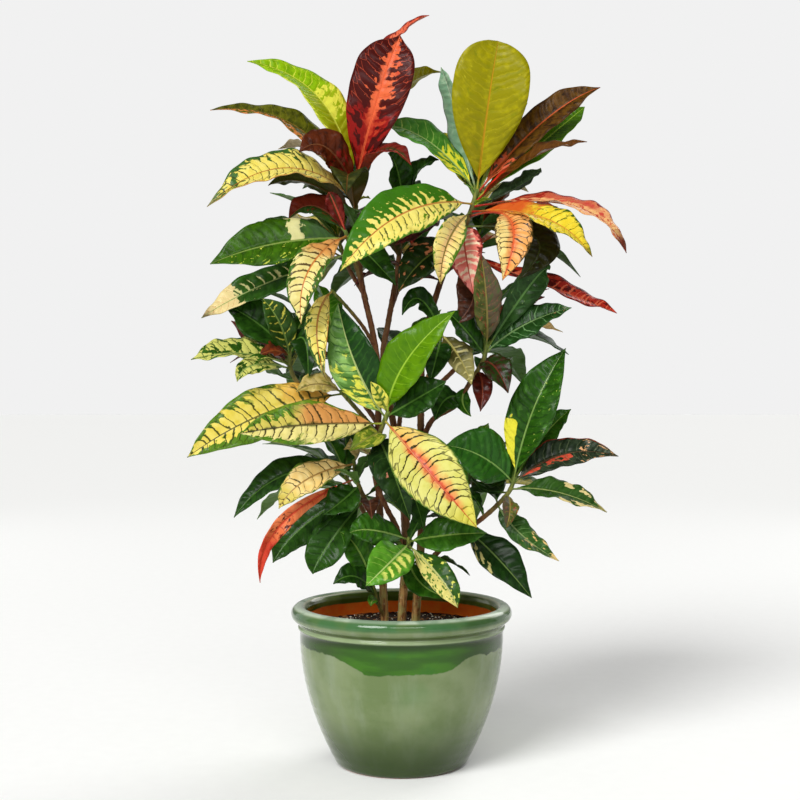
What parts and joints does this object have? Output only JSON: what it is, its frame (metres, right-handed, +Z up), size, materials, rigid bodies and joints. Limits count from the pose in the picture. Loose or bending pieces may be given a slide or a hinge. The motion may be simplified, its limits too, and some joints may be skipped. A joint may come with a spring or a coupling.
{
  "type": "potted croton",
  "caption": "Bushy variegated croton with woody, branched cuttings and broad pointed leaves, standing in the soil of a round glazed pot with a rolled rim.",
  "frame": {"origin": "centre of the pot's foot, on the ground", "axes": "+Z up, -Y towards the viewer of the front, +X to the viewer's right"},
  "size_m": [0.628, 0.447, 1.123],
  "materials": {
    "pot_glaze": "gloss",
    "potting_mix": "matte",
    "croton_left": "satin",
    "croton_middle": "satin",
    "croton_right": "satin"
  },
  "bodies": {
    "root": {"pot": "pot_glaze", "soil": "potting_mix", "leafy_stem_left": "croton_left", "leafy_stem_middle": "croton_middle", "leafy_stem_right": "croton_right"}
  },
  "joints": []
}
